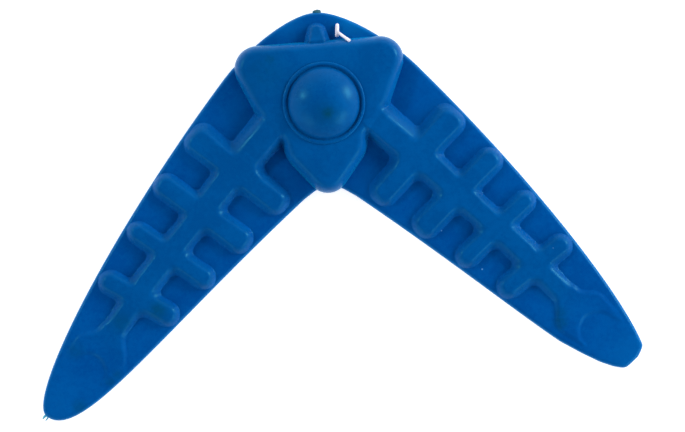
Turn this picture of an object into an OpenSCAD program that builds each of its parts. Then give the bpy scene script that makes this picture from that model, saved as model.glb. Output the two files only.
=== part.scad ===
// Moulded rubber boomerang: a flat two-winged web with a fishbone relief on each wing,
// a three-lobed boss at the elbow and a round dome on the boss.
// Millimetres, +Z up. The origin is the boss centre on the flat back face, and the wings
// spread down and out from it, mirrored about the YZ plane.
// "Along" a wing means away from the boss, "across" it means from its inner edge outwards.

/* [Wings] */
// Angle of each wing below the X axis, in degrees
wing_angle = 48.9; // [47:0.1:51]
// Distance from the boss centre to a wing tip, measured along the wing
wing_length = 208; // [195:1:225]
// Thickness of the flat web that carries the relief
web_t = 5; // [3:0.5:8]
// Length that is worn off the right wing tip
tip_wear = 6.2; // [2:0.2:8]

/* [Fishbone] */
// Height of the ribs above the web next to the boss
rib_h = 4.5; // [2.5:0.25:6]
// Height of the spine above the web where it meets the boss
spine_root_h = 8; // [5:0.5:8.5]
// Height of the tail fins above the web
tail_h = 1.25; // [0.5:0.25:2]
// How far a wall leans in between its foot and its top
wall_lean = 3; // [2:0.25:3.5]

/* [Boss] */
// Height of the three-lobed boss above the web
boss_h = 9; // [8:0.5:12]
// Distance from the boss centre to its straight outer edge
boss_outer_y = 31.5; // [30:0.5:34]
// Width of the rounded shoulder around the boss
boss_shoulder = 6; // [3:0.5:6]

/* [Dome] */
// Radius of the dome at its foot
dome_r = 17.8; // [14:0.2:17.8]
// Height of the dome above the boss
dome_h = 8.5; // [6:0.5:14]
// Sideways offset of the dome and its ring from the boss centre
dome_offset = 0.9; // [0:0.1:1.5]
// Radius of the ring's centre line
ring_r = 19.6; // [19.2:0.1:19.8]
// Radius of the ring's round bead
bead_r = 0.9; // [0.5:0.1:1]

/* [Moulding marks] */
// Radius of the runner nub where it meets the boss
nub_r = 6.2; // [4:0.2:7]
// Length of the runner nub
nub_length = 6; // [5:0.5:9]
// Diameter of the thin flash strand at the left wing tip
flash_d = 1; // [0.6:0.1:1.4]
// Length of that strand
flash_length = 2.6; // [1:0.2:4]

/* [Tag pin] */
// Diameter of the tag pin's crossbar
bar_d = 1.9; // [1.2:0.1:2.2]
// Length of the crossbar
bar_length = 7; // [5:0.2:9]
// Diameter of the cut filament
filament_d = 1.6; // [0.8:0.1:1.8]

/* [Hidden] */

blue = "#025097";
dark_teal = "#0a5a6e";
light_teal = "#3f9fb8";
nylon = "#e8e5f2";

skin = 0.01;                            // thickness of the thin discs that hulls are made from
stretch = wing_length / 208;            // every distance along a wing follows its length
boss_z = web_t + boss_h;
cap_r = (dome_r * dome_r + dome_h * dome_h) / (2 * dome_h);

// Outline of a wing, as cubic curves in wing coordinates [along, across].
apex_y = 46;                            // outermost point of the elbow, on the centre line
crotch_y = -38.5;                       // inner corner of the elbow, on the centre line
shoulder = [20, 47];                    // where the elbow's curve turns into the outer edge
wing_tip = [208, 18];
outer_edge = [shoulder, [119, 47], [208, 31.5], wing_tip];
inner_edge = [wing_tip, [208, -3.5], [148, -2.5], [44, -21.2]];
elbow_pull = 14;                        // length of the handle at the apex of the elbow curve
shoulder_pull = 17.3;                   // length of its handle at the shoulder
// What is worn off the right tip, from tip_wear short of the full length: [along, across].
worn_tip = [
    [-2.8, 26.5], [-1.4, 23.4], [-0.2, 19.9], [-0.3, 16.3], [-0.5, 12.2], [-1.7, 10.4], [-5.7, 7.6],
    [-12.2, 4.5], [-22, 1.2], [-34, -2.2], [-34, -8], [20, -8], [20, 30],
];

// Boss outline: sharp corners [x, y, rounding radius], counter-clockwise.
boss_right = [[0, -51, 10.5], [21, -25, 15], [21.2, -18.5, 2], [33.5, -3, 1.5], [48.4, boss_outer_y, 11.5]];
boss_left = [[-48.4, boss_outer_y, 11.5], [-33.5, -3, 1.5], [-21.2, -18.5, 2], [-21, -25, 15]];
boss_corners = concat(boss_left, boss_right);

// Spine stations in wing coordinates: [along, across, foot width, height].
spine = [
    [20, 14.4, 20, spine_root_h],
    [50, 15.8, 17, rib_h + 0.3],
    [92, 16.6, 14.5, 0.8 * rib_h + 0.2 * tail_h],
    [124, 17.2, 15, 0.5 * rib_h + 0.5 * tail_h],
    [153, 16.6, 13, tail_h],
];
// Ribs: [inner end along, across, foot width], [outer end along, across, foot width], height.
ribs = [
    [[53, -16.5, 15], [50.5, 45, 16.5], rib_h],
    [[79, -13.5, 14.5], [80, 44.5, 13.5], 0.9 * rib_h + 0.1 * tail_h],
    [[104.8, -10, 12.5], [106.5, 42, 11.5], 0.75 * rib_h + 0.25 * tail_h],
    [[129.3, -6.5, 13.5], [135.5, 38.3, 12.5], 0.6 * rib_h + 0.4 * tail_h],
];
// Forked tail: corners in wing coordinates with their rounding radii, counter-clockwise.
tail_corners = [
    [153, 10, 1], [158.5, 3.5, 5], [164, 0.5, 3], [188, 5.5, 1.5], [172.5, 7.5, 4], [168.5, 15.2, 5],
    [172.5, 22, 4], [188, 26.5, 1.5], [182, 29.2, 8], [165.5, 30.4, 3], [161, 27.5, 3.5], [157, 22.6, 3],
    [153, 22.6, 0.5],
];

function xy(p) = [p.x, p.y];
function unit(v) = v / norm(v);
function left_of(v) = [-v.y, v.x];
function bezier(p, n) = [
    for (i = [0:n]) let (u = i / n, w = 1 - u)
        w * w * w * p[0] + 3 * w * w * u * p[1] + 3 * w * u * u * p[2] + u * u * u * p[3]
];

// Wing coordinates to the part's own X and Y, for the right wing.
function along_dir() = [cos(wing_angle), -sin(wing_angle)];
function across_dir() = [sin(wing_angle), cos(wing_angle)];
function from_wing(p) = p.x * stretch * along_dir() + p.y * across_dir();

// The arc that rounds corner b between its neighbours a and c.
function corner_arc(a, b, c, r, n) =
    let (
        u = unit(a - b), v = unit(c - b), half = acos(u * v) / 2,
        o = b + unit(u + v) * r / sin(half),
        p = b + u * r / tan(half) - o,
        q = b + v * r / tan(half) - o,
        start = atan2(p.y, p.x),
        sweep = (atan2(q.y, q.x) - start + 540) % 360 - 180
    )
    [for (i = [0:n]) let (t = start + sweep * i / n) o + r * [cos(t), sin(t)]];

// A closed outline of corners [x, y, radius] with every corner rounded.
function rounded(c, n = 10) = [
    for (i = [0:len(c) - 1])
        each corner_arc(xy(c[(i + len(c) - 1) % len(c)]), xy(c[i]), xy(c[(i + 1) % len(c)]), c[i].z, n)
];

// The same corners moved in by d, so that the outline keeps its rounding centres.
function inset(c, d) = [
    for (i = [0:len(c) - 1])
        let (
            e = unit(xy(c[i]) - xy(c[(i + len(c) - 1) % len(c)])),
            f = unit(xy(c[(i + 1) % len(c)]) - xy(c[i])),
            m = (left_of(e) + left_of(f)) / (1 + left_of(e) * left_of(f)),
            p = xy(c[i]) + d * m,
            r = cross(e, f) > 0 ? max(c[i].z - d, 0.8) : c[i].z + d
        )
        [p.x, p.y, r]
];

function half_outline() =
    let (joint = from_wing(shoulder), crown = [0, apex_y])
    concat(
        bezier([crown, crown + [elbow_pull, 0], joint - shoulder_pull * along_dir(), joint], 10),
        [for (p = bezier(outer_edge, 30)) if (p != shoulder) from_wing(p)],
        [for (p = bezier(inner_edge, 26)) if (p != wing_tip) from_wing(p)],
        [[0, crotch_y]]
    );
function mirrored(pts) = [for (i = [len(pts) - 2:-1:1]) [-pts[i].x, pts[i].y]];

module on_right_wing() {
    rotate([0, 0, -wing_angle]) children();
}

module on_left_wing() {
    mirror([1, 0, 0]) on_right_wing() children();
}

module web_outline() {
    half = half_outline();
    polygon(concat(half, mirrored(half)));
}

// A solid on the web whose plan is a rounded outline and whose shoulder is a quarter ellipse.
module pillow(corners, base_z, height, shoulder_w, steps = 7) {
    rings = [
        for (k = [0:steps]) let (a = 90 * k / steps)
            [for (p = rounded(inset(corners, shoulder_w * (1 - cos(a)))))
                [p.x, p.y, base_z + height * sin(a)]]
    ];
    n = len(rings[0]);
    walls = [
        for (k = [0:steps - 1], i = [0:n - 1])
            [k * n + i, (k + 1) * n + i, (k + 1) * n + (i + 1) % n, k * n + (i + 1) % n]
    ];
    bottom = [for (i = [0:n - 1]) i];
    top = [for (i = [n - 1:-1:0]) steps * n + i];
    polyhedron(points = [for (r = rings) each r], faces = concat([bottom], walls, [top]));
}

// A straight bar with leaning walls, from station p to q, each [along, across, foot width].
// It runs past its stations by extra_p and extra_q.
module ridge(p, q, height_p, height_q, extra_p = 0, extra_q = 0) {
    foot_r = 2.6;
    top_r = 1;
    dir = unit([(q.x - p.x) * stretch, q.y - p.y]);
    a = [p.x * stretch, p.y] - extra_p * dir;
    b = [q.x * stretch, q.y] + extra_q * dir;
    hull() {
        for (end = [[a, dir, p.z, height_p], [b, -dir, q.z, height_q]], side = [-1, 1]) {
            across = side * left_of(dir);
            foot = end[0] + foot_r * end[1] + (end[2] / 2 - foot_r) * across;
            top = end[0] + (wall_lean + top_r) * end[1] + (end[2] / 2 - wall_lean - top_r) * across;
            translate([foot.x, foot.y, web_t]) cylinder(r = foot_r, h = skin, $fn = 16);
            translate([top.x, top.y, web_t + end[3] - skin]) cylinder(r = top_r, h = skin, $fn = 16);
        }
    }
}

// Spine and ribs of one wing, in wing coordinates.
module fishbone_bars() {
    lap = wall_lean + 2;                // spine lengths run into each other, so that no notch shows
    last = len(spine) - 2;
    for (i = [0:last]) {
        p = spine[i];
        q = spine[i + 1];
        ridge([p[0], p[1], p[2]], [q[0], q[1], q[2]], p[3], q[3], lap, i < last ? lap : 0);
    }
    for (r = ribs) {
        ridge(r[0], r[1], r[2], r[2]);
    }
}

module boss_solid() {
    pillow(boss_corners, web_t, boss_h, boss_shoulder);
}

module tail_fin() {
    plan = [for (p = rounded(tail_corners, 5)) [p.x * stretch, p.y]];
    translate([0, 0, web_t]) linear_extrude(tail_h) polygon(plan);
}

// The flat web: both wings, the elbow and the boss's footprint, with the right tip worn off.
module blade() {
    color(blue)
    difference() {
        union() {
            linear_extrude(web_t) web_outline();
            linear_extrude(web_t) polygon(rounded(boss_corners));
        }
        on_right_wing()
            translate([wing_length - tip_wear, 0, -1])
            linear_extrude(web_t + 2) polygon(worn_tip);
    }
}

module left_fishbone() {
    color(blue)
    difference() {
        on_left_wing() fishbone_bars();
        boss_solid();
    }
}

module right_fishbone() {
    color(blue)
    difference() {
        on_right_wing() fishbone_bars();
        boss_solid();
    }
}

module left_tail_fin() {
    color(blue) on_left_wing() tail_fin();
}

module right_tail_fin() {
    color(blue) on_right_wing() tail_fin();
}

module boss() {
    color(blue) boss_solid();
}

// The round bead around the dome.
module dome_ring() {
    color(blue)
    translate([dome_offset, 0, boss_z])
    difference() {
        rotate_extrude($fn = 96) translate([ring_r, 0]) circle(r = bead_r, $fn = 24);
        translate([0, 0, -2 * bead_r]) cylinder(r = ring_r + 2 * bead_r, h = 2 * bead_r, $fn = 96);
    }
}

// A spherical cap on the boss.
module dome() {
    color(blue)
    translate([dome_offset, 0, boss_z])
    difference() {
        translate([0, 0, dome_h - cap_r]) sphere(r = cap_r, $fn = 96);
        translate([0, 0, -2 * cap_r]) cylinder(r = 2 * cap_r, h = 2 * cap_r, $fn = 96);
    }
}

// The half cone that the moulding's runner left between the elbow's edge and the boss.
module runner_nub() {
    end_r = nub_r / 2;
    color(blue)
    difference() {
        translate([0, boss_outer_y, web_t]) {
            rotate([-90, 0, 0]) cylinder(r1 = nub_r, r2 = end_r, h = nub_length, $fn = 48);
            translate([0, nub_length, 0]) sphere(r = end_r, $fn = 48);
        }
        translate([-2 * nub_r, 0, web_t - 2 * nub_r]) cube([4 * nub_r, 2 * apex_y, 2 * nub_r]);
    }
}

// The torn end of the gate, on the elbow's edge.
module gate_stub() {
    torn = [[-1.6, 44.5], [-1, 46.6], [0.3, 47.3], [1.1, 46.9], [2, 47.1], [2.9, 46.3], [3.4, 44.5]];
    color(dark_teal)
    translate([0, 0, web_t / 5])
    difference() {
        linear_extrude(3 * web_t / 5) polygon(torn);
        translate([0, 0, -1]) linear_extrude(web_t + 2) web_outline();
    }
}

// The strand of flash at the left wing tip.
module tip_flash() {
    buried = 3;
    color(light_teal)
    difference() {
        on_left_wing()
            translate([wing_length - buried, wing_tip.y, web_t / 2])
            rotate([0, 90, 0]) cylinder(d = flash_d, h = buried + flash_length, $fn = 24);
        translate([0, 0, -1]) linear_extrude(web_t + 2) web_outline();
    }
}

// What is left of a tag fastener: its crossbar on the web, and its filament cut off short.
module tag_pin() {
    bar_mid = [10.4, 35.9];
    bar_turn = 6;                       // degrees from the Y axis
    bar_sink = 0.15;                    // depth of the crossbar's flat underside
    filament_start = [11.1, 34.5, web_t + 0.9];
    filament_end = [16.2, 29.8, web_t + 6.8];
    run = filament_end - filament_start;
    color(nylon)
    difference() {
        union() {
            translate([bar_mid.x, bar_mid.y, web_t + bar_d / 2 - bar_sink])
                rotate([0, 0, -bar_turn])
                rotate([90, 0, 0]) cylinder(d = bar_d, h = bar_length, center = true, $fn = 32);
            translate(filament_start)
                rotate([0, acos(run.z / norm(run)), atan2(run.y, run.x)])
                cylinder(d = filament_d, h = norm(run), $fn = 32);
        }
        translate([0, 20, web_t - 4]) cube([30, 30, 4]);
    }
}

blade();
left_fishbone();
right_fishbone();
left_tail_fin();
right_tail_fin();
boss();
dome_ring();
dome();
runner_nub();
gate_stub();
tip_flash();
tag_pin();
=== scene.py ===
"""Looks of the moulded rubber boomerang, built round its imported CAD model.

Shapes are worked out in millimetres in the row frame and written to Blender in metres. A point
on a wing is given in wing coordinates: along the wing away from the boss, and across it towards
its outer edge.
"""

import math

import bmesh
import bpy
import numpy as np
from mathutils import Matrix, Vector, geometry


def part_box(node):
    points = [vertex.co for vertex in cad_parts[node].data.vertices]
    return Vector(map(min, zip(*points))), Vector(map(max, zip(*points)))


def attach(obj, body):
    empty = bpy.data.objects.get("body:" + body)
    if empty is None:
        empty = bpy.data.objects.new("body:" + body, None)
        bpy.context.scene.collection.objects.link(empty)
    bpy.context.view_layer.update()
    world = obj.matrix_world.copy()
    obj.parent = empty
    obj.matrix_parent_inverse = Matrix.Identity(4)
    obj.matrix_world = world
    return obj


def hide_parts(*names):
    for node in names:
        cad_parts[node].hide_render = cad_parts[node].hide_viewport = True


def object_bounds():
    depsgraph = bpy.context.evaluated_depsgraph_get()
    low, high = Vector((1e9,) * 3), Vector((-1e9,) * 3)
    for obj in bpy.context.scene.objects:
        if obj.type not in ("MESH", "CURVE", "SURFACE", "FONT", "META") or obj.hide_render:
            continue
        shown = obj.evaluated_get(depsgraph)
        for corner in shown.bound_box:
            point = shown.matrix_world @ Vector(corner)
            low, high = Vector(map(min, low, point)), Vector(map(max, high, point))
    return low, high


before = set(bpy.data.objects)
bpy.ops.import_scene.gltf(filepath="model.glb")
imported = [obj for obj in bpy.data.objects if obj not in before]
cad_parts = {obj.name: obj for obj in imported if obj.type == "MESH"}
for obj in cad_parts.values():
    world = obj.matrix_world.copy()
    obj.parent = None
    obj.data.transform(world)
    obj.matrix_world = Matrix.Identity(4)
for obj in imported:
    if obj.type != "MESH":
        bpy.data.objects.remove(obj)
cad_low, cad_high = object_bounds()

MM = 0.001
SEED = 7


# ---------------------------------------------------------------- places, from the frame


def box_mm(node):
    """Lowest and highest corner of a CAD node, in millimetres."""
    low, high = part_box(node)
    return np.array(low) / MM, np.array(high) / MM


blade_low, blade_high = box_mm("blade")
_, boss_high = box_mm("boss")
dome_low, dome_high = box_mm("dome")
ring_low, ring_high = box_mm("dome_ring")
nub_low, nub_high = box_mm("runner_nub")

WEB_TOP = blade_high[2]
BOSS_TOP = boss_high[2]
DOME_CENTRE = (dome_low[:2] + dome_high[:2]) / 2
DOME_R = (dome_high[0] - dome_low[0]) / 2
DOME_H = dome_high[2] - BOSS_TOP
BEAD_R = ring_high[2] - BOSS_TOP
RING_R = (ring_high[0] - ring_low[0]) / 2 - BEAD_R

# Angle of each wing below the X axis, as in the CAD model.
WING_ANGLE = math.radians(48.9)
ALONG = np.array([math.cos(WING_ANGLE), -math.sin(WING_ANGLE)])
ACROSS = np.array([math.sin(WING_ANGLE), math.cos(WING_ANGLE)])


# ---------------------------------------------------------------- small numeric tools


# How many points are measured against an outline at a time.
BATCH = 4000
# Height of the surface's slow waves.
WAVE_HEIGHT = 0.035
# Places, and heights, that are nearer to each other than this count as the same.
MATCH_MM = 0.01
# A face counts as flat if its normal's Z is past this.
FLAT_NORMAL = 0.99


def smooth_min(a, b, k):
    """The lower of a and b, with the crease between them rounded over a width k."""
    h = np.maximum(k - np.abs(a - b), 0) / k
    return np.minimum(a, b) - h * h * k / 4


def smooth_step(x, low, high):
    """Rise from 0 at low to 1 at high, level at both ends."""
    t = np.clip((x - low) / (high - low), 0, 1)
    return t * t * (3 - 2 * t)


def waviness(x, y):
    """Slow unevenness of a moulded rubber surface, in millimetres.

    Every piece shares it, so none comes loose from its neighbours."""
    waves = np.sin(x / 9.1 + 1.3) * np.cos(y / 11.7 - 0.4)
    waves += 0.7 * np.sin((x + 1.3 * y) / 15.3) + 0.5 * np.cos((1.7 * x - y) / 21.9 + 2.1)
    return WAVE_HEIGHT * waves


def bar_distance(p, start, end, width_start, width_end, corner):
    """Signed distance to a bar with rounded corners, negative inside. p has a row per point."""
    start, end = np.array(start, float), np.array(end, float)
    length = np.linalg.norm(end - start)
    unit = (end - start) / length
    rel = p - start
    u = rel @ unit
    v = rel @ np.array([-unit[1], unit[0]])
    half = (width_start + (width_end - width_start) * np.clip(u / length, 0, 1)) / 2
    dx = np.maximum(-u, u - length) + corner
    dy = np.abs(v) - half + corner
    outside = np.hypot(np.maximum(dx, 0), np.maximum(dy, 0))
    return np.minimum(np.maximum(dx, dy), 0) + outside - corner


def polygon_distance(p, poly):
    """Signed distance from points p to a closed polygon, negative inside."""
    a, b = poly, np.roll(poly, -1, axis=0)
    edge = b - a
    length2 = (edge**2).sum(1)
    out = np.empty(len(p))
    for i in range(0, len(p), BATCH):
        x, y = p[i : i + BATCH, None, 0], p[i : i + BATCH, None, 1]
        rel = p[i : i + BATCH, None, :] - a[None]
        t = np.clip((rel * edge).sum(2) / length2, 0, 1)
        gap = rel - t[..., None] * edge
        near = np.sqrt((gap**2).sum(2)).min(1)
        crossing = (a[None, :, 1] > y) != (b[None, :, 1] > y)
        with np.errstate(divide="ignore", invalid="ignore"):
            x_at = a[:, 0] + (y - a[:, 1]) * edge[:, 0] / edge[:, 1]
        hits = (crossing & (x < x_at)).sum(1)
        out[i : i + BATCH] = np.where(hits % 2 == 1, -near, near)
    return out


def smooth_closed(points, sigma, step):
    """Values along a closed curve, one each step, blurred along it by sigma, in millimetres."""
    n = len(points)
    freq = np.fft.fftfreq(n, d=step)
    gain = np.exp(-2 * (math.pi * freq * sigma) ** 2)
    if points.ndim == 2:
        gain = gain[:, None]
    return np.real(np.fft.ifft(np.fft.fft(points, axis=0) * gain, axis=0))


def resample_closed(points, step):
    """A closed polygon resampled evenly at about one point every step."""
    closed = np.vstack([points, points[:1]])
    run = np.r_[0, np.cumsum(np.linalg.norm(np.diff(closed, axis=0), axis=1))]
    count = int(round(run[-1] / step))
    at = np.linspace(0, run[-1], count, endpoint=False)
    return np.column_stack([np.interp(at, run, closed[:, 0]), np.interp(at, run, closed[:, 1])])


def inward_normals(loop):
    """Unit normals into a counter-clockwise loop."""
    tangent = np.roll(loop, -1, axis=0) - np.roll(loop, 1, axis=0)
    tangent /= np.linalg.norm(tangent, axis=1)[:, None]
    return np.column_stack([-tangent[:, 1], tangent[:, 0]])


def cad_loop(node, z_mm):
    """Outline of a CAD node's flat face at height z_mm, as a counter-clockwise loop."""
    bm = bmesh.new()
    bm.from_mesh(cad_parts[node].data)
    bmesh.ops.remove_doubles(bm, verts=bm.verts, dist=MATCH_MM * MM)
    links = {}
    for edge in bm.edges:
        if any(abs(v.co.z / MM - z_mm) > MATCH_MM for v in edge.verts):
            continue
        flats = [abs(face.normal.z) > FLAT_NORMAL for face in edge.link_faces]
        if any(flats) and not all(flats):
            a, b = edge.verts
            links.setdefault(a.index, []).append(b.index)
            links.setdefault(b.index, []).append(a.index)
    bm.verts.ensure_lookup_table()
    start = min(links)
    walk = [start, links[start][0]]
    while True:
        step = [i for i in links[walk[-1]] if i != walk[-2]]
        if not step or step[0] == start:
            break
        walk.append(step[0])
    loop = np.array([bm.verts[i].co[:2] for i in walk]) / MM
    bm.free()
    following = np.roll(loop, -1, axis=0)
    area = 0.5 * np.sum(loop[:, 0] * following[:, 1] - loop[:, 1] * following[:, 0])
    return loop if area > 0 else loop[::-1]


def wing_to_row(p, side):
    """Wing coordinates to the row's X and Y. side is 1 for the right wing and -1 for the left."""
    xy = p[:, :1] * ALONG + p[:, 1:2] * ACROSS
    return xy * np.array([side, 1])


# ---------------------------------------------------------------- meshes


def make_piece(name, verts_mm, faces, node, material, sharp_deg=38):
    """A closed smooth-shaded mesh that rides on the body and stands for a CAD node."""
    mesh = bpy.data.meshes.new(name)
    mesh.from_pydata((np.asarray(verts_mm) * MM).tolist(), [], faces)
    bm = bmesh.new()
    bm.from_mesh(mesh)
    bmesh.ops.recalc_face_normals(bm, faces=bm.faces)
    bm.to_mesh(mesh)
    bm.free()
    mesh.shade_smooth()
    mesh.set_sharp_from_angle(angle=math.radians(sharp_deg))
    piece = bpy.data.objects.new(name, mesh)
    bpy.context.scene.collection.objects.link(piece)
    mesh.materials.append(material)
    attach(piece, "root")
    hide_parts(node)
    return piece


def skin_rings(rings, cap_first=True, cap_last=True):
    """Faces that join equal closed rings of points, in order, with the ends capped."""
    n = len(rings[0])
    faces = []
    for k in range(len(rings) - 1):
        for i in range(n):
            j = (i + 1) % n
            faces.append((k * n + i, k * n + j, (k + 1) * n + j, (k + 1) * n + i))
    if cap_first:
        faces.append(tuple(range(n))[::-1])
    if cap_last:
        faces.append(tuple(range((len(rings) - 1) * n, len(rings) * n)))
    return faces


def with_z(loop, z):
    """A flat loop as points in space, at one height or at a height for each point."""
    return np.column_stack([loop, np.broadcast_to(z, len(loop))])


# How far a relief goes on below the web's surface, and how much deeper its underside lies.
SUNK = 0.35
RELIEF_DEPTH = 0.8


def relief_piece(name, u, v, height, to_row, node, material):
    """A closed piece of relief over the grid u by v: height(points) above the web, where it shows.

    It follows the blade's rounded rim, and its edge dives under the web, so that no seam shows."""
    uu, vv = np.meshgrid(u, v, indexing="ij")
    flat = np.column_stack([uu.ravel(), vv.ravel()])
    h = height(flat)
    shown = h > -SUNK
    xy = to_row(flat)
    base = np.full(len(flat), -1.0)
    base[shown] = web_surface(xy[shown])
    shown &= base > 0
    shown = shown.reshape(uu.shape)
    cells = shown[:-1, :-1] & shown[1:, :-1] & shown[:-1, 1:] & shown[1:, 1:]
    index = np.arange(flat.shape[0]).reshape(uu.shape)
    corners = [index[:-1, :-1], index[1:, :-1], index[1:, 1:], index[:-1, 1:]]
    corners = np.stack(corners, axis=-1)[cells]
    used = np.unique(corners)
    new_index = np.full(flat.shape[0], -1)
    new_index[used] = np.arange(len(used))
    quads = new_index[corners]
    count = len(used)
    z_top = base[used] + h[used] + waviness(xy[used, 0], xy[used, 1])
    top = np.column_stack([xy[used], z_top])
    bottom = np.column_stack([xy[used], base[used] - SUNK - RELIEF_DEPTH])
    edges = np.concatenate([quads[:, pair] for pair in ([0, 1], [1, 2], [2, 3], [3, 0])])
    keys = np.sort(edges, axis=1)
    _, first, counts = np.unique(keys, axis=0, return_index=True, return_counts=True)
    rim = edges[first[counts == 1]]
    walls = np.column_stack([rim[:, 1], rim[:, 0], rim[:, 0] + count, rim[:, 1] + count])
    faces = quads.tolist() + (quads[:, ::-1] + count).tolist() + walls.tolist()
    return make_piece(name, np.vstack([top, bottom]), faces, node, material)


# ---------------------------------------------------------------- the blade


# Rounding of the blade's rim above and below, and the height and half width of the flat band
# between the two.
RIM_TOP_R = 2.2
RIM_UNDER_R = 1.5
PARTING_Z = 2.4
PARTING_HALF = 0.12
# Spacing of points along the blade's outline, along the rows that fill its flat faces, and from
# row to row. The rows stay FILL_GAP away from the edge.
OUTLINE_STEP = 0.6
FILL_STEP = 2.6
ROW_STEP = FILL_STEP * 0.866
FILL_GAP = 0.8 * FILL_STEP
# Settings of Blender's triangulation: triangles inside the outline only, and its tolerance.
INSIDE_ONLY = 1
TOLERANCE = 1e-6
# Softening of the blade's outline. Each ring of the rim is softened again, by RING_SOFT, and by
# RING_SOFT_GROWTH more for each millimetre of inset.
OUTLINE_SOFT = 0.7
RING_SOFT = 0.4
RING_SOFT_GROWTH = 0.9
# Where the boss's wall is within BESIDE of the blade's outline, the outline draws in by TUCK, and
# eases into that over about TUCK_BLEND.
BESIDE = 0.25
TUCK = 0.45
TUCK_BLEND = 1.2
# Spacing of points along the outlines of the boss and the tail, and softening of the boss's.
LOOP_STEP = 0.5
BOSS_SOFT = 1.0
# The relief stops this far inside the blade's edge.
EDGE_MARGIN = 0.12


def rim_profile():
    """Inset and height of each ring of the blade's rounded rim, from its back face to its top."""
    under = [
        (RIM_UNDER_R * (1 - math.sin(a)), RIM_UNDER_R * (1 - math.cos(a)))
        for a in np.radians([0, 20, 40, 60, 80])
    ]
    band = [(0.03, PARTING_Z - 0.3)]
    band += [(0.0, PARTING_Z - PARTING_HALF), (0.0, PARTING_Z + PARTING_HALF)]
    base = WEB_TOP - RIM_TOP_R
    over = [
        (RIM_TOP_R * (1 - math.cos(a)), base + RIM_TOP_R * math.sin(a))
        for a in np.radians([4, 16, 28, 40, 52, 64, 76, 90])
    ]
    return under + band + over


def blade_outline():
    """The CAD blade's outline, even and softened, tucked in where the boss's wall covers it."""
    loop = resample_closed(cad_loop("blade", blade_low[2]), OUTLINE_STEP)
    loop = smooth_closed(loop, OUTLINE_SOFT, OUTLINE_STEP)
    boss = cad_loop("boss", WEB_TOP)
    beside = (np.abs(polygon_distance(loop, boss)) < BESIDE).astype(float)
    tuck = TUCK * smooth_step(smooth_closed(beside, TUCK_BLEND, OUTLINE_STEP), 0.2, 0.9)
    return loop + inward_normals(loop) * tuck[:, None]


def softened_loop(loop, soft):
    """A CAD loop, evenly sampled and softened."""
    return smooth_closed(resample_closed(loop, LOOP_STEP), soft, LOOP_STEP)


BLADE_OUTLINE = blade_outline()
BOSS_OUTLINE = softened_loop(cad_loop("boss", WEB_TOP), BOSS_SOFT)


def rounded_wall(inside, width):
    """Rise of a wall from 0, steepest at its foot, to 1, level, at its width in."""
    return np.sin(math.pi / 2 * np.clip(inside / width, 0, 1))


def quarter_round(inside, width):
    """Rise of a quarter circle, from 0, upright at its foot, to 1, level, at its width in."""
    return np.sqrt(1 - (1 - np.clip(inside / width, 0, 1)) ** 2)


# The boss's rise is shared between a round shoulder and a wide, faint crown.
SHOULDER_SHARE = 0.88
SHOULDER_WIDTH = 5.2
CROWN_SHARE = 0.12
CROWN_WIDTH = 14.0


def boss_height(inside):
    """Height of the boss above the web at a distance in from its outline."""
    shoulder = SHOULDER_SHARE * quarter_round(inside, SHOULDER_WIDTH)
    crown = CROWN_SHARE * rounded_wall(inside, CROWN_WIDTH)
    return (BOSS_TOP - WEB_TOP) * (shoulder + crown)


def web_surface(xy):
    """Height of the blade's top at a place, with the fall of its rounded rim. -1 outside it."""
    inside = -polygon_distance(xy, BLADE_OUTLINE)
    fall = 1 - np.clip(inside / RIM_TOP_R, 0, 1)
    z = WEB_TOP - RIM_TOP_R * (1 - np.sqrt(1 - fall**2))
    return np.where(inside > EDGE_MARGIN, z, -1)


# A relief falls away below the web from a little outside its foot.
SINK_SLOPE = 1.1
SINK_START = 0.8


def sink_outside(h, inside):
    """Takes a relief down below the web just outside its foot."""
    return h - SINK_SLOPE * np.maximum(-inside - SINK_START, 0)


def make_blade(material):
    """The flat web: rings up its rounded rim, and its back and top filled with even triangles."""
    outline = BLADE_OUTLINE
    rings = []
    for inset, z in rim_profile():
        soft = smooth_closed(outline, RING_SOFT + RING_SOFT_GROWTH * inset, OUTLINE_STEP)
        ring = soft + inward_normals(soft) * inset
        lift = waviness(ring[:, 0], ring[:, 1]) if z > PARTING_Z else 0
        rings.append(with_z(ring, z + lift))
    verts = np.vstack(rings)
    faces = skin_rings(rings, cap_first=False, cap_last=False)
    n = len(outline)
    low, high = outline.min(0), outline.max(0)
    xs = np.arange(low[0], high[0], FILL_STEP)
    ys = np.arange(low[1], high[1], ROW_STEP)
    gx, gy = np.meshgrid(xs, ys)
    gx[1::2] += FILL_STEP / 2
    grid = np.column_stack([gx.ravel(), gy.ravel()])
    for ring_at, z, flip in ((0, 0.0, True), (len(rings) - 1, WEB_TOP, False)):
        ring = rings[ring_at][:, :2]
        inner = grid[polygon_distance(grid, ring) < -FILL_GAP]
        points = [Vector(p) for p in np.vstack([ring, inner])]
        edges = [(i, (i + 1) % n) for i in range(n)]
        found = geometry.delaunay_2d_cdt(points, edges, [], INSIDE_ONLY, TOLERANCE)
        out_points, out_faces, origin = found[0], found[2], found[3]
        lookup = []
        extra = []
        for i, p in enumerate(out_points):
            source = origin[i][0] if origin[i] else -1
            if 0 <= source < n:
                lookup.append(ring_at * n + source)
                continue
            lookup.append(len(verts) + len(extra))
            extra.append((p[0], p[1], z + (waviness(p[0], p[1]) if not flip else 0)))
        verts = np.vstack([verts, np.array(extra)])
        for face in out_faces:
            ids = [lookup[i] for i in face]
            faces.append(ids[::-1] if flip else ids)
    return make_piece("blade_web", verts, faces, "blade", material)


# ---------------------------------------------------------------- fishbones and tails


# The relief's level lies this far down, so that its foot meets the web without a step.
FOOT_DEPTH = 0.06
# Width of the walls, how much wider they are next to the boss, and the share of that on the
# inner side.
WALL_WIDTH = 4.3
BROAD_WALL = 3.4
INNER_SHARE = 0.6
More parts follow.
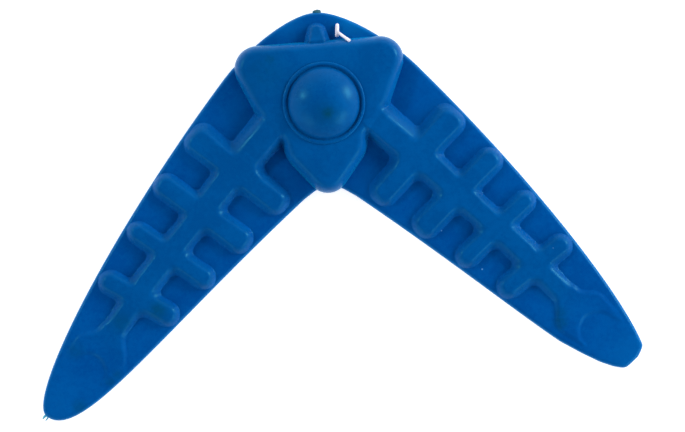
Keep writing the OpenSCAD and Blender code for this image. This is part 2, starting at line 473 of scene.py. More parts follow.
# Width of the fillet between fishbone and boss, the heights of the fishbone over which it sets
# in, and how steeply the boss falls away outside its outline.
NECK_BLEND = 3.0
NECK_SETS_IN = (0, 1.5)
OUTSIDE_SLOPE = 3

# Inner end, outer end and width at each end of each rib's foot, in wing coordinates.
RIBS = (
    ((53.0, -16.8), (50.5, 45.0), 15.4, 18.8),
    ((79.2, -13.6), (79.8, 44.6), 15.4, 14.2),
    ((104.8, -10.2), (106.8, 41.8), 13.0, 12.2),
    ((129.8, -6.6), (135.6, 38.4), 13.2, 13.2),
)
RIB_CORNER = 6.6
# Rounding of the corners between spine and ribs, and how much tighter it is on the outer side.
INNER_CORNER = 4.4
CORNER_TIGHTER = 1.6
# Spine centre line and foot width along a wing.
SPINE_ALONG = np.array([14, 28, 42, 60, 92, 108, 124, 140, 152, 166])
SPINE_ACROSS = np.array([13.6, 14.0, 15.0, 15.5, 16.4, 17.0, 17.4, 16.7, 16.5, 16.0])
SPINE_WIDTH = np.array([21.0, 20.6, 19.6, 17.0, 15.2, 15.4, 15.4, 13.6, 13.0, 13.0])
# Height of the relief along a wing.
HEIGHT_ALONG = np.array([14, 20, 24, 28, 34, 42, 52, 64, 118, 138, 148, 156, 164, 178, 192])
HEIGHT = np.array([3.0, 6.4, 7.9, 7.9, 7.0, 5.7, 4.9, 4.5, 4.3, 3.6, 2.6, 1.6, 1.0, 0.6, 0.0])
# Where across a wing the ribs are highest, and the share of that height that their ends lose.
SPINE_MIDDLE = 15.5
RIB_END_DROP = 0.2
# Places along a wing: the start of the fishbone's piece, the end of the spine's foot, and the
# start and end of the tail's piece.
FISH_START = 16.0
SPINE_END = 164
TAIL_START = 153.0
TAIL_END = 196.0
# Softening of the tail's outline, and the blend between it and the spine. The outline is only
# measured from TAIL_REACH before the tail's start. Nearer the boss it counts as FAR_AWAY.
TAIL_SOFT = 1.4
TAIL_BLEND = 4.0
TAIL_REACH = 16
FAR_AWAY = 50.0
# Grid of the relief, and the stretch across a wing that it covers.
RIB_GRID = 0.42
ACROSS_RANGE = (-20.5, 49)
# Nearer the boss than this, along a wing, the boss shapes the fishbone. Inside the boss's outline
# the fishbone dives under it, from DIVE_START in, and ends at DIVE_END.
NEAR_BOSS = 50
DIVE_START = 0.1
DIVE_SLOPE = 0.5
DIVE_END = 1.3
# Where each change along or across a wing begins and ends: the outer corners grow tighter, the
# ribs fall towards their ends, the broad walls go over to plain ones, and those to the tail's.
# RIB_ENDS_FALL is measured either way from SPINE_MIDDLE.
CORNERS_TIGHTEN = (10, 22)
RIB_ENDS_FALL = (10, 32)
OUTER_BROAD_ALONG = (43, 52)
OUTER_BROAD_ACROSS = (10, 18)
INNER_BROAD_ALONG = (47, 54)
INNER_BROAD_ACROSS = (1, 9)
TAIL_SETS_IN = (148, 160)
# The tail rises from just outside its foot to this far inside it.
TAIL_RISE = (-0.4, 2.8)


def spine_distance(p):
    """Distance outside the spine's foot, negative inside."""
    centre = np.interp(p[:, 0], SPINE_ALONG, SPINE_ACROSS)
    half = np.interp(p[:, 0], SPINE_ALONG, SPINE_WIDTH) / 2
    return np.maximum(np.abs(p[:, 1] - centre) - half, p[:, 0] - SPINE_END)


def tail_foot():
    """Outline of the CAD tail in wing coordinates, softened."""
    loop = cad_loop("right_tail_fin", WEB_TOP)
    loop = np.column_stack([loop @ ALONG, loop @ ACROSS])
    return softened_loop(loop, TAIL_SOFT)


TAIL_FOOT = tail_foot()


def fish_height(p):
    """Height of the whole fishbone and tail above the web, falling below it outside their foot."""
    along, across = p[:, 0], p[:, 1]
    corner = INNER_CORNER - CORNER_TIGHTER * smooth_step(across, *CORNERS_TIGHTEN)
    foot = spine_distance(p)
    for inner, outer, inner_width, outer_width in RIBS:
        rib = bar_distance(p, inner, outer, inner_width, outer_width, RIB_CORNER)
        foot = smooth_min(foot, rib, corner)
    near_tail = along > TAIL_START - TAIL_REACH
    tail_edge = np.full(len(p), FAR_AWAY)
    tail_edge[near_tail] = polygon_distance(p[near_tail], TAIL_FOOT)
    foot = smooth_min(foot, tail_edge, TAIL_BLEND)
    inside = -foot
    crest = np.interp(along, HEIGHT_ALONG, HEIGHT)
    reach = np.abs(across - SPINE_MIDDLE)
    crest = crest * (1 - RIB_END_DROP * smooth_step(reach, *RIB_ENDS_FALL) * (along < TAIL_START))
    outer_side = smooth_step(across, *OUTER_BROAD_ACROSS)
    inner_side = 1 - smooth_step(across, *INNER_BROAD_ACROSS)
    outer_wall = (1 - smooth_step(along, *OUTER_BROAD_ALONG)) * outer_side
    inner_wall = (1 - smooth_step(along, *INNER_BROAD_ALONG)) * inner_side
    broad = BROAD_WALL * (outer_wall + INNER_SHARE * inner_wall)
    walled = crest * rounded_wall(inside, WALL_WIDTH + broad)
    soft = crest * smooth_step(inside, *TAIL_RISE)
    tail = smooth_step(along, *TAIL_SETS_IN)
    h = walled * (1 - tail) + soft * tail - FOOT_DEPTH
    return sink_outside(h, inside)


def over_both(xy, side):
    """Height above the web of a wing's fishbone and the boss together, blended where they meet.

    Also gives how far in from the boss's outline each point is."""
    p = np.column_stack([xy @ (ALONG * [side, 1]), xy @ (ACROSS * [side, 1])])
    fish = fish_height(p)
    in_boss = -polygon_distance(xy, BOSS_OUTLINE)
    boss = np.where(in_boss > 0, boss_height(in_boss), OUTSIDE_SLOPE * in_boss)
    fillet = np.maximum(NECK_BLEND - np.abs(boss - fish), 0) / NECK_BLEND
    fillet = fillet**2 * NECK_BLEND / 4 * smooth_step(fish, *NECK_SETS_IN)
    return np.maximum(fish, boss) + fillet, in_boss


def make_fishbone_and_tail(side, material):
    """The fishbone and the tail of one wing, which meet face to face."""
    name = "left" if side < 0 else "right"
    across = np.arange(*ACROSS_RANGE, RIB_GRID)

    def to_row(p):
        return wing_to_row(p, side)

    def fishbone_height(p):
        """The fishbone's own height, which slips under the boss inside the boss's outline."""
        h = fish_height(p)
        near = (p[:, 0] < NEAR_BOSS) & (h > -SUNK)
        both, in_boss = over_both(to_row(p[near]), side)
        h[near] = both - DIVE_SLOPE * np.maximum(in_boss - DIVE_START, 0)
        h[near] = np.where(in_boss > DIVE_END, -1, h[near])
        return h

    parts = (
        ("fishbone", FISH_START, TAIL_START, fishbone_height),
        ("tail_fin", TAIL_START, TAIL_END, fish_height),
    )
    for part, start, end, height in parts:
        node = f"{name}_{part}"
        along = np.linspace(start, end, int(round((end - start) / RIB_GRID)) + 1)
        relief_piece(f"{node}_relief", along, across, height, to_row, node, material)


# ---------------------------------------------------------------- boss, ring and dome


# Points round the boss and round the turned parts.
BOSS_SIDES = 600
TURNED_SIDES = 240
# Inset and height of the rings under the boss, which lie hidden in the blade.
BOSS_UNDERSIDE = ((1.3, 0.5), (0.7, 0.62), (0.25, 1.0), (0.0, 1.8), (0.0, PARTING_Z))
# Rings from the boss's outline in to LEVEL_R, and the power that crowds them towards the outline.
BOSS_RINGS = 36
RING_CROWDING = 2.2
# From this radius inwards the boss goes level, over a width of LEVEL_BLEND.
LEVEL_R = RING_R + BEAD_R + 0.4
LEVEL_BLEND = 2.0
# A shallow groove in the boss between the dome and its bead, and the half width of its rings.
GROOVE_R = (DOME_R + RING_R - BEAD_R) / 2 + 0.1
GROOVE_DEPTH = 0.15
GROOVE_HALF = 0.7
GROOVE_SPAN = 1.0
# Rings up the dome, and the radii of the boss's last rings, which the dome hides.
DOME_RINGS = 60
UNDER_DOME = (12, 6, 1)


def ray_hits(centre, poly, angles):
    """Where rays from centre first leave the polygon."""
    a = poly - centre
    edge = np.roll(a, -1, axis=0) - a
    hits = []
    for angle in angles:
        d = np.array([math.cos(angle), math.sin(angle)])
        det = d[0] * edge[:, 1] - d[1] * edge[:, 0]
        with np.errstate(divide="ignore", invalid="ignore"):
            t = (a[:, 0] * edge[:, 1] - a[:, 1] * edge[:, 0]) / det
            w = (a[:, 0] * d[1] - a[:, 1] * d[0]) / det
        ok = (w >= 0) & (w < 1) & (t > 0)
        hits.append(centre + d * t[ok].min())
    return np.array(hits)


def make_boss(material):
    """The boss, as rings of points that spread from its outline to its middle."""
    angles = np.linspace(0, 2 * math.pi, BOSS_SIDES, endpoint=False)
    edge = ray_hits(DOME_CENTRE, BOSS_OUTLINE, angles)
    spokes = np.column_stack([np.cos(angles), np.sin(angles)])
    circle = DOME_CENTRE + LEVEL_R * spokes
    rings = []
    for inset, z in BOSS_UNDERSIDE:
        rings.append(with_z(edge - spokes * inset, z))
    for share in np.linspace(0, 1, BOSS_RINGS) ** RING_CROWDING:
        ring = edge + (circle - edge) * share
        right, in_boss = over_both(ring, 1)
        left, _ = over_both(ring, -1)
        h = np.where(ring[:, 0] > 0, right, left)
        rings.append(with_z(ring, WEB_TOP + h + waviness(ring[:, 0], ring[:, 1])))
    flat_z = rings[-1][:, 2].copy()
    groove = np.linspace(GROOVE_R + GROOVE_SPAN, GROOVE_R - GROOVE_SPAN, 15)
    to_groove = np.linspace(LEVEL_R, groove[0], 5)
    for r in np.r_[to_groove[1:], groove[1:], UNDER_DOME]:
        dip = GROOVE_DEPTH * np.clip(1 - (abs(r - GROOVE_R) / GROOVE_HALF) ** 2, 0, 1)
        blend = np.clip((LEVEL_R - r) / LEVEL_BLEND, 0, 1)
        z = flat_z * (1 - blend) + BOSS_TOP * blend - dip
        rings.append(with_z(DOME_CENTRE + r * spokes, z))
    verts = np.vstack(rings)
    return make_piece("boss_shell", verts, skin_rings(rings), "boss", material)


def turned_piece(name, profile, node, material, closed=False):
    """A body of revolution about the dome's axis. profile is (radius, height) points."""
    angles = np.linspace(0, 2 * math.pi, TURNED_SIDES, endpoint=False)
    spokes = np.column_stack([np.cos(angles), np.sin(angles)])
    rings = [with_z(DOME_CENTRE + r * spokes, z) for r, z in profile]
    if closed:
        faces = skin_rings(rings + rings[:1], False, False)
        count = TURNED_SIDES * len(rings)
        faces = [tuple(i % count for i in face) for face in faces]
    else:
        faces = skin_rings(rings)
    return make_piece(name, np.vstack(rings), faces, node, material)


def make_ring(material):
    """The bead round the dome, with its foot inside the boss."""
    centre_z = BOSS_TOP - 0.1
    half_width = BEAD_R * 1.05
    rise = BEAD_R + 0.08
    crest = [
        (RING_R + half_width * math.cos(a), centre_z + rise * math.sin(a))
        for a in np.radians(np.linspace(-10, 190, 15))
    ]
    outer = RING_R + BEAD_R + 0.5
    inner = RING_R - BEAD_R - 0.05
    foot_z = BOSS_TOP - 0.9
    outer_side = [(outer, foot_z), (outer, BOSS_TOP - 0.2)]
    inner_side = [(inner, BOSS_TOP - 0.6), (inner, foot_z)]
    profile = outer_side + crest + inner_side
    return turned_piece("dome_bead", profile, "dome_ring", material, closed=True)


def make_dome(material):
    """The dome, a cap of a sphere with its foot inside the boss."""
    cap_r = (DOME_R**2 + DOME_H**2) / (2 * DOME_H)
    foot_angle = math.asin(DOME_R / cap_r)
    centre_z = BOSS_TOP + DOME_H - cap_r
    profile = [
        (DOME_R - 0.3, BOSS_TOP - 1.6),
        (DOME_R, BOSS_TOP - 1.3),
        (DOME_R + 0.02, BOSS_TOP - 0.25),
    ]
    # From just above the foot to a tiny flat at the top.
    for share in np.linspace(0.985, 0.004, DOME_RINGS):
        a = foot_angle * share
        profile.append((cap_r * math.sin(a), centre_z + cap_r * math.cos(a)))
    return turned_piece("dome_cap", profile, "dome", material)


# ---------------------------------------------------------------- moulding marks and tag pin


NUB_GRID = 0.25
# Share of its width that the nub loses along its length, the length of its round nose, and the
# width of its walls.
NUB_TAPER = 0.42
NUB_NOSE = 2.6
NUB_WALL = 3.6
# How much further out than the CAD nub its foot is on each side, and its height as a share of the
# CAD nub's: that at its start, and the loss along its length.
NUB_SPREAD = 0.3
NUB_CREST = 0.92
NUB_FALL = 0.6
# How far the grid reaches: back into the boss, past the nub's end, and to each side of X = 0.
NUB_ROOT = 4.5
NUB_PAST = 2.5
NUB_SIDE = 8


def nub_height(p):
    """Half-cone bump that runs from the boss's wall out towards the elbow's edge."""
    x, y = p[:, 0], p[:, 1]
    start, length = nub_low[1], nub_high[1] - nub_low[1]
    share = np.clip((y - start) / length, 0, 1)
    half = (nub_high[0] + NUB_SPREAD) * (1 - NUB_TAPER * share)
    past = np.maximum(y - start - length + NUB_NOSE, 0)
    inside = half - np.hypot(x, past * half / NUB_NOSE)
    crest = (nub_high[2] - WEB_TOP) * (NUB_CREST - NUB_FALL * share)
    return sink_outside(crest * rounded_wall(inside, NUB_WALL) - FOOT_DEPTH, inside)


def make_nub(material):
    """The runner nub, over a grid in the row frame's own X and Y."""
    x = np.arange(-NUB_SIDE, NUB_SIDE + NUB_GRID / 2, NUB_GRID)
    y = np.arange(nub_low[1] - NUB_ROOT, nub_high[1] + NUB_PAST, NUB_GRID)

    def unchanged(p):
        return p

    name = "runner_nub_relief"
    return relief_piece(name, x, y, nub_height, unchanged, "runner_nub", material)


def tube(points, radii, sides, wobble=0.0, flatten=1.0, rng=None):
    """Rings of a tube along points, with rounded or torn ends given by the radii."""
    points = np.array(points, float)
    tangent = np.gradient(points, axis=0)
    tangent /= np.linalg.norm(tangent, axis=1)[:, None]
    rings = []
    angles = np.linspace(0, 2 * math.pi, sides, endpoint=False)
    for p, t, r in zip(points, tangent, radii):
        side = np.cross(t, [0, 0, 1.0])
        side /= np.linalg.norm(side)
        up = np.cross(side, t)
        jitter = np.ones(sides) if rng is None else 1 + wobble * rng.standard_normal(sides)
        ring = p + (r * jitter)[:, None] * (
            np.cos(angles)[:, None] * side + flatten * np.sin(angles)[:, None] * up
        )
        rings.append(ring)
    return rings


def make_gate_stub(material):
    """A small torn lump of rubber on the elbow's edge."""
    sides = 18
    buried = 1.2
    jagged = 0.16
    scatter = 0.15
    low, high = box_mm("gate_stub")
    rng = np.random.default_rng(SEED)
    centre = (low + high) / 2
    rings = []
    half_width = (high[0] - low[0]) / 2
    half_height = 0.42 * (high[2] - low[2])
    angles = np.linspace(0, 2 * math.pi, sides, endpoint=False)
    for share in np.linspace(0, 1, 9):
        y = low[1] - buried + (high[1] - low[1] + buried) * share
        grow = math.sqrt(max(1 - share**7, 0.02))
        jag = 1 + jagged * rng.standard_normal(sides)
        x = centre[0] + half_width * grow * np.cos(angles) * jag
        z = centre[2] + half_height * grow * np.sin(angles) * jag
        rings.append(np.column_stack([x, y + scatter * rng.standard_normal(sides) * share, z]))
    verts = np.vstack(rings)
    faces = skin_rings(rings)
    return make_piece("gate_stub_torn", verts, faces, "gate_stub", material, 60)


def make_tip_flash(material):
    """A thin curled strand of flash at the left wing tip, with a shorter barb beside it."""
    sides = 10
    low, high = box_mm("tip_flash")
    rng = np.random.default_rng(SEED + 1)
    # Both strands start inside the wing tip.
    root = np.array([high[0] + 0.7, high[1] + 0.6])
    mid_z = (low[2] + high[2]) / 2
    rings = []
    faces = []
    # Outer end, radius at the root, and bend of each strand.
    strands = (
        (low[0] + 0.1, low[1] + 1.0, 0.85, 0.35),
        (low[0] + 1.3, low[1] + 0.3, 0.6, -0.3),
    )
    for x, y, radius, bend in strands:
        outer = np.array([x, y])
        points, radii = [], []
        for share in np.linspace(0, 1, 14):
            p = root + (outer - root) * share
            sway = bend * math.sin(3 * share)
            points.append((p[0] - sway, p[1] + sway, mid_z + 0.3 * share**2))
            radii.append(radius * (1 - 0.5 * share) * math.sqrt(max(1 - share**6, 0.03)))
        strand = tube(points, radii, sides, wobble=0.08, flatten=0.6, rng=rng)
        offset = sides * len(rings)
        faces += [tuple(i + offset for i in face) for face in skin_rings(strand)]
        rings += strand
    verts = np.vstack(rings)
    return make_piece("tip_flash_strand", verts, faces, "tip_flash", material, 60)


def make_tag_pin(material):
    """The tag fastener's crossbar and its cut filament, as one moulded nylon piece."""
    bar_r = 0.93
    bar_half = 3.5
    bar_sides = 24
    filament_r = 0.8
    filament_sides = 20
    # The middle of the bar, and the filament's start and end below, lie where the CAD has them.
    mid = np.array([10.4, 35.9, WEB_TOP + bar_r - 0.12])
    turn = math.radians(6)
    direction = np.array([math.sin(turn), math.cos(turn), 0])
    points, radii = [], []
    for share in np.linspace(-1, 1, 25):
        points.append(mid + direction * bar_half * share)
        radii.append(bar_r * (1 - abs(share) ** 9) ** 0.5 * (1 - 0.05 * share) + 0.02)
    bar = tube(points, radii, bar_sides)
    start = np.array([11.1, 34.5, WEB_TOP + 0.9])
    end = np.array([16.2, 29.8, WEB_TOP + 6.8])
    points, radii = [], []
    for share in np.linspace(0, 1, 22):
        p = start + (end - start) * share
        p[2] += 0.5 * math.sin(math.pi * share)
        points.append(p)
        waist = filament_r - 0.04 * math.sin(math.pi * share)
        radii.append(waist if share < 0.97 else 0.74)
    filament = tube(points, radii, filament_sides)
    verts = np.vstack(bar + filament)
    faces = skin_rings(bar)
    offset = len(bar) * bar_sides
    faces += [tuple(i + offset for i in face) for face in skin_rings(filament)]
    return make_piece("tag_pin_nylon", verts, faces, "tag_pin", material, 50)


# ---------------------------------------------------------------- materials


def new_material(name):
    """A new material with its node tree and its main shader."""
    material = bpy.data.materials.new(name)
    material.use_nodes = True
    tree = material.node_tree
    return material, tree, tree.nodes["Principled BSDF"]


def srgb(r, g, b):
    """An 8-bit sRGB colour as linear RGBA."""

    def one(c):
        c /= 255
        return c / 12.92 if c <= 0.04045 else ((c + 0.055) / 1.055) ** 2.4

    return (one(r), one(g), one(b), 1.0)


def math_node(tree, operation, a, b):
    """A sum, product or the like of two sockets, or of a socket and a number."""
    node = tree.nodes.new("ShaderNodeMath")
    node.operation = operation
    for i, value in enumerate((a, b)):
        if isinstance(value, (int, float)):
            node.inputs[i].default_value = value
        else:
            tree.links.new(value, node.inputs[i])
    return node.outputs[0]


def noise(tree, vector, scale, detail, rough):
    """Noise from 0 to 1. scale is in waves per metre."""
    node = tree.nodes.new("ShaderNodeTexNoise")
    node.inputs["Scale"].default_value = scale
    node.inputs["Detail"].default_value = detail
    node.inputs["Roughness"].default_value = rough
    tree.links.new(vector, node.inputs["Vector"])
    return node.outputs["Fac"]


def ramp(tree, value, low, high, to_low=0.0, to_high=1.0):
    """A smooth change from to_low to to_high as the value goes from low to high."""
    node = tree.nodes.new("ShaderNodeMapRange")
    node.interpolation_type = "SMOOTHSTEP"
    node.inputs["From Min"].default_value = low
    node.inputs["From Max"].default_value = high
    node.inputs["To Min"].default_value = to_low
    node.inputs["To Max"].default_value = to_high
    tree.links.new(value, node.inputs["Value"])
    return node.outputs["Result"]


def mix_colour(tree, factor, a, b):
    """Colour a where the factor is 0 and b where it is 1. Each is a colour or a socket."""
    node = tree.nodes.new("ShaderNodeMix")
    node.data_type = "RGBA"
    tree.links.new(factor, node.inputs[0])
    for socket, value in ((node.inputs[6], a), (node.inputs[7], b)):
        if isinstance(value, tuple):
            socket.default_value = value
        else:
            tree.links.new(value, socket)
    return node.outputs[2]


# Share of a spot's radius inside which it has its full strength.
SPOT_CORE = 0.1


def spot(tree, vector, centre_mm, radius_mm, strength=1.0):
    """The strength at a place on the surface, fading to 0 at a radius round it."""
    distance = tree.nodes.new("ShaderNodeVectorMath")
    distance.operation = "DISTANCE"
    tree.links.new(vector, distance.inputs[0])
    distance.inputs[1].default_value = [c * MM for c in centre_mm]
    radius = radius_mm * MM
    core = SPOT_CORE * radius_mm * MM
    return ramp(tree, distance.outputs["Value"], radius, core, to_low=0.0, to_high=strength)


def on_wing(side, along, across, z):
    """A place in the row frame, from wing coordinates and a height."""
    x, y = wing_to_row(np.array([[along, across]]), side)[0]
    return (x, y, z)


# Grimy spots, and one broad spot of painted shade on the boss's left lobe: centre and radius in
# millimetres, and strength.
DOME_STAIN = (DOME_CENTRE[0] + 1.6, DOME_CENTRE[1] - 5.4, BOSS_TOP + DOME_H - 0.8)
LOBE_STAIN = (-24.1, 23.4, BOSS_TOP)
STAINS_AND_SHADE = (
    (DOME_STAIN, 5.5, 0.8),
    (DOME_STAIN, 10.5, 0.3),
    (LOBE_STAIN, 4.5, 0.45),
    # Painted shade, not grime: the boss's left lobe is darkened a little.
    ((-27.0, 17.0, BOSS_TOP), 18.0, 0.22),
    (on_wing(-1, 131.5, 4.5, WEB_TOP + 3.5), 6.5, 0.55),
    (on_wing(-1, 147.1, 15.8, WEB_TOP + 2.5), 7.0, 0.35),
    (on_wing(-1, 172.4, 26.1, WEB_TOP + 0.8), 7.0, 0.3),
    (on_wing(-1, 170.0, 1.8, WEB_TOP), 4.0, 0.35),
    (on_wing(-1, 174.8, 2.6, WEB_TOP), 4.0, 0.4),
    (on_wing(-1, 194.0, 7.6, WEB_TOP), 5.5, 0.4),
    (on_wing(1, 158.5, 8.2, WEB_TOP + 1.5), 5.5, 0.35),
    (on_wing(1, 161.5, 4.8, WEB_TOP + 0.8), 5.5, 0.5),
)
# Places where the web is painted paler: centre, radius and strength.
PALE_PATCHES = (
    ((20.0, 38.0, WEB_TOP), 17.0, 0.9),
    ((-14.0, 40.0, WEB_TOP), 16.0, 0.35),
    (on_wing(1, 202.0, 18.0, WEB_TOP), 26.0, 0.4),
    (on_wing(-1, 204.0, 20.0, WEB_TOP), 26.0, 0.3),
)
# Specks of pale dust: centre and radius.
SPECKS = (
    (on_wing(1, 132.8, 28.8, WEB_TOP + 4), 0.55),
    (on_wing(1, 87.0, -3.8, WEB_TOP), 0.5),
    (on_wing(1, 115.0, -3.4, WEB_TOP), 0.6),
    (on_wing(1, 166.2, 2.4, WEB_TOP + 1), 0.6),
)


def strongest(tree, vector, places):
    """The highest of several spots, each a centre, a radius and a strength."""
    total = None
    for place in places:
        one = spot(tree, vector, *place)
        total = one if total is None else math_node(tree, "MAXIMUM", total, one)
    return total


# Lowest and highest tone of the web and of the raised parts, then the other colours. The web's
# tones are darker and bluer, as painted shade in the pockets between the ribs.
WEB_TONES = (srgb(0, 70, 144), srgb(0, 78, 153))
RAISED_TONES = (srgb(0, 72, 139), srgb(0, 79, 148))
PALE_BLUE = srgb(2, 98, 172)
RIM_HIGHLIGHT = srgb(3, 95, 163)
GRIME_AND_SHADE = srgb(2, 62, 84)
DUST = srgb(90, 150, 205)


def add_bump(tree, shader, height, strength, distance_mm):
    """Fine relief of a surface, from a height between 0 and 1."""
    bump = tree.nodes.new("ShaderNodeBump")
    bump.inputs["Strength"].default_value = strength
    bump.inputs["Distance"].default_value = distance_mm * MM
    tree.links.new(height, bump.inputs["Height"])
    tree.links.new(bump.outputs["Normal"], shader.inputs["Normal"])


def blue_rubber():
    """Satin moulded rubber with uneven pigment, faint grime, painted shade, dust specks and a fine
    grain.

    The web between the ribs is painted a little darker and bluer than the raised parts, as shade
    in the pockets, and the rounded top of its rim is painted paler, as a highlight."""
    material, tree, shader = new_material("blue_rubber")
    coords = tree.nodes.new("ShaderNodeTexCoord").outputs["Object"]
    split = tree.nodes.new("ShaderNodeSeparateXYZ")
    tree.links.new(coords, split.inputs[0])
    patches = noise(tree, coords, scale=60, detail=3, rough=0.55)
    fine = noise(tree, coords, scale=480, detail=3, rough=0.65)
    patches = math_node(tree, "MULTIPLY", patches, 0.6)
    fine = math_node(tree, "MULTIPLY", fine, 0.4)
    uneven = math_node(tree, "ADD", patches, fine)
    tone = ramp(tree, uneven, low=0.38, high=0.62)
    # Painted shade: the web between the ribs is darker and bluer than the raised parts.
    web = mix_colour(tree, tone, *WEB_TONES)
    raised_colour = mix_colour(tree, tone, *RAISED_TONES)
    height = split.outputs["Z"]
    raised = ramp(tree, height, low=(WEB_TOP + 0.2) * MM, high=(WEB_TOP + 2.5) * MM)
    colour = mix_colour(tree, raised, web, raised_colour)
    colour = mix_colour(tree, strongest(tree, coords, PALE_PATCHES), colour, PALE_BLUE)
    # Painted highlight: the rounded top of the rim, seen from above, is painted paler.
    rim = ramp(tree, height, low=(WEB_TOP - 0.15) * MM, high=(WEB_TOP - 1.0) * MM)
    lower_edge = ramp(tree, height, low=(PARTING_Z - 0.3) * MM, high=(PARTING_Z + 1.2) * MM)
    rim = math_node(tree, "MULTIPLY", rim, lower_edge)
    colour = mix_colour(tree, rim, colour, RIM_HIGHLIGHT)
    grime_edge = noise(tree, coords, scale=420, detail=2, rough=0.6)
    # Grime, and painted shade on the boss's left lobe, darken the colour and roughen the surface.
    grime_and_shade = strongest(tree, coords, STAINS_AND_SHADE)
    ragged = ramp(tree, grime_edge, low=0.2, high=0.75, to_low=0.5, to_high=1.0)
    grime_and_shade = math_node(tree, "MULTIPLY", grime_and_shade, ragged)
    colour = mix_colour(tree, grime_and_shade, colour, GRIME_AND_SHADE)
    colour = mix_colour(tree, strongest(tree, coords, SPECKS), colour, DUST)
    tree.links.new(colour, shader.inputs["Base Color"])
    dull_patches = noise(tree, coords, scale=140, detail=3, rough=0.6)
    rough = ramp(tree, dull_patches, low=0.3, high=0.7, to_low=0.24, to_high=0.33)
    rough = math_node(tree, "ADD", rough, math_node(tree, "MULTIPLY", grime_and_shade, 0.15))
    tree.links.new(rough, shader.inputs["Roughness"])
    shader.inputs["Specular IOR Level"].default_value = 0.11
    shader.inputs["Specular Tint"].default_value = (0.1, 1.0, 1.0, 1.0)
    shader.inputs["Sheen Weight"].default_value = 0.2
    shader.inputs["Sheen Roughness"].default_value = 0.4
    shader.inputs["Sheen Tint"].default_value = (0.0, 0.75, 1.0, 1.0)
    grain = noise(tree, coords, scale=2600, detail=2, rough=0.6)
    peel = noise(tree, coords, scale=300, detail=2, rough=0.5)
    relief = math_node(tree, "ADD", math_node(tree, "MULTIPLY", grain, 0.2), peel)
    add_bump(tree, shader, relief, strength=0.5, distance_mm=0.09)
    return material


def trimming(name, dark, light, scale, roughness, bump_mm):
    """Uneven colour, roughness and surface for the small trimmings."""
    rough_low, rough_high = roughness
    material, tree, shader = new_material(name)
    coords = tree.nodes.new("ShaderNodeTexCoord").outputs["Object"]
    grain = noise(tree, coords, scale, detail=3, rough=0.6)
    colour = mix_colour(tree, ramp(tree, grain, low=0.3, high=0.7), dark, light)
    tree.links.new(colour, shader.inputs["Base Color"])
    rough = ramp(tree, grain, low=0.3, high=0.7, to_low=rough_low, to_high=rough_high)
    tree.links.new(rough, shader.inputs["Roughness"])
    add_bump(tree, shader, grain, strength=0.6, distance_mm=bump_mm)
    return material, shader


def white_nylon():
    """Milky nylon that lets a little light in."""
    dark, light = srgb(226, 224, 240), srgb(246, 244, 252)
    material, shader = trimming(
        "white_nylon", dark, light, scale=500, roughness=(0.28, 0.42), bump_mm=0.03
    )
    shader.inputs["Subsurface Weight"].default_value = 0.25
    shader.inputs["Subsurface Radius"].default_value = (0.6 * MM, 0.6 * MM, 0.8 * MM)
    shader.inputs["Subsurface Scale"].default_value = 1.0
    return material


# ---------------------------------------------------------------- the object


rubber = blue_rubber()
torn_tones = (srgb(4, 60, 84), srgb(24, 110, 130))
flash_tones = (srgb(20, 140, 180), srgb(90, 190, 210))
torn, _ = trimming("torn_rubber", *torn_tones, scale=900, roughness=(0.6, 0.85), bump_mm=0.12)
flash, _ = trimming("thin_rubber", *flash_tones, scale=700, roughness=(0.3, 0.5), bump_mm=0.05)
nylon = white_nylon()

make_blade(rubber)
for wing in (-1, 1):
    make_fishbone_and_tail(wing, rubber)
make_boss(rubber)
make_ring(rubber)
make_dome(rubber)
make_nub(rubber)
make_gate_stub(torn)
make_tip_flash(flash)
make_tag_pin(nylon)


# ---------------------------------------------------------------- floor, light and camera


WHITE = (1, 1, 1, 1)
FLOOR_HALF = 6.0
FLOOR_GAP = 0.02
# The lamps' distance and the point that they face, then each one's name, azimuth and elevation
# in degrees, size in metres and power in watts.
LAMP_DISTANCE = 1.5
LAMP_TARGET = Vector((0, -0.04, 0))
LAMPS = (
    ("right_softbox", 22, 21, (0.55, 0.36), 15),
    ("left_softbox", 152, 32, (0.24, 0.2), 6),
    ("lower_right_softbox", -41, 30, (0.8, 0.5), 8),
    ("lower_left_softbox", -139, 30, (0.8, 0.5), 4),
)
# Height of the camera, the width that it sees at the web's top, its turn about the vertical, and
# the point it looks at as shares of the CAD box.
CAMERA_HEIGHT = 1.35
FRAME_WIDTH = 0.3425
ROLL = math.radians(4.64)
AIM_SHARE = (0.5218, 0.4658)
SENSOR_WIDTH = 36


def make_floor():
    """A plain pale floor under the toy."""
    half = FLOOR_HALF
    mesh = bpy.data.meshes.new("floor")
    z = cad_low.z - FLOOR_GAP * MM
    corners = [(-half, -half, z), (half, -half, z), (half, half, z), (-half, half, z)]
    mesh.from_pydata(corners, [], [(0, 1, 2, 3)])
    floor = bpy.data.objects.new("floor", mesh)
    bpy.context.scene.collection.objects.link(floor)
    material, _, shader = new_material("pale_floor")
    shader.inputs["Base Color"].default_value = (0.85, 0.85, 0.85, 1)
    shader.inputs["Roughness"].default_value = 0.9
    shader.inputs["Specular IOR Level"].default_value = 0.0
    shader.inputs["Emission Color"].default_value = WHITE
    shader.inputs["Emission Strength"].default_value = 0.6
    mesh.materials.append(material)


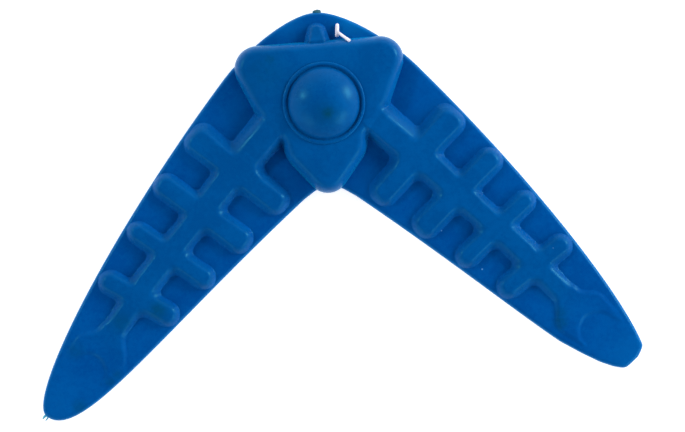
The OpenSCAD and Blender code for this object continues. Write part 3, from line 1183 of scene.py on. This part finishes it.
def softbox(name, azimuth_deg, elevation_deg, size, power):
    """A soft lamp that faces the boss from a direction given in the row frame."""
    a, e = math.radians(azimuth_deg), math.radians(elevation_deg)
    data = bpy.data.lights.new(name, "AREA")
    data.shape = "RECTANGLE"
    data.size, data.size_y = size
    data.energy = power
    lamp = bpy.data.objects.new(name, data)
    direction = Vector((math.cos(a) * math.cos(e), math.sin(a) * math.cos(e), math.sin(e)))
    lamp.location = LAMP_TARGET + direction * LAMP_DISTANCE
    lamp.rotation_euler = (-direction).to_track_quat("-Z", "Y").to_euler()
    bpy.context.scene.collection.objects.link(lamp)


def make_world():
    """A pale studio: bright round the horizon, most of all beyond the elbow, and dark overhead."""
    world = bpy.data.worlds.new("studio")
    world.use_nodes = True
    tree = world.node_tree
    direction = tree.nodes.new("ShaderNodeTexCoord").outputs["Generated"]
    split = tree.nodes.new("ShaderNodeSeparateXYZ")
    tree.links.new(direction, split.inputs[0])
    horizon = ramp(tree, split.outputs["Z"], low=0.85, high=0.35, to_low=0.03, to_high=1.5)
    beyond_elbow = ramp(tree, split.outputs["Y"], low=-0.9, high=0.3, to_low=0.5, to_high=1.0)
    glow = math_node(tree, "MULTIPLY", horizon, beyond_elbow)
    tree.links.new(glow, tree.nodes["Background"].inputs["Strength"])
    tree.nodes["Background"].inputs["Color"].default_value = WHITE
    bpy.context.scene.world = world


def make_lights():
    """The studio's world and its softboxes."""
    make_world()
    for lamp in LAMPS:
        softbox(*lamp)


def make_camera():
    """Straight down on the toy, turned a little, as the photograph is."""
    data = bpy.data.cameras.new("camera")
    data.sensor_width = SENSOR_WIDTH
    plane = CAMERA_HEIGHT - WEB_TOP * MM
    data.lens = SENSOR_WIDTH * plane / FRAME_WIDTH
    camera = bpy.data.objects.new("camera", data)
    size = cad_high - cad_low
    aim_x = cad_low.x + AIM_SHARE[0] * size.x
    aim_y = cad_low.y + AIM_SHARE[1] * size.y
    aim = Vector((aim_x, aim_y, 0))
    right = Vector((math.cos(ROLL), -math.sin(ROLL), 0))
    up = Vector((math.sin(ROLL), math.cos(ROLL), 0))
    back = Vector((0, 0, 1))
    camera.matrix_world = Matrix((
        (right.x, up.x, back.x, aim.x),
        (right.y, up.y, back.y, aim.y),
        (right.z, up.z, back.z, CAMERA_HEIGHT),
        (0, 0, 0, 1),
    ))
    bpy.context.scene.collection.objects.link(camera)
    bpy.context.scene.camera = camera


make_floor()
make_lights()
make_camera()
bpy.context.scene.view_settings.view_transform = "Standard"
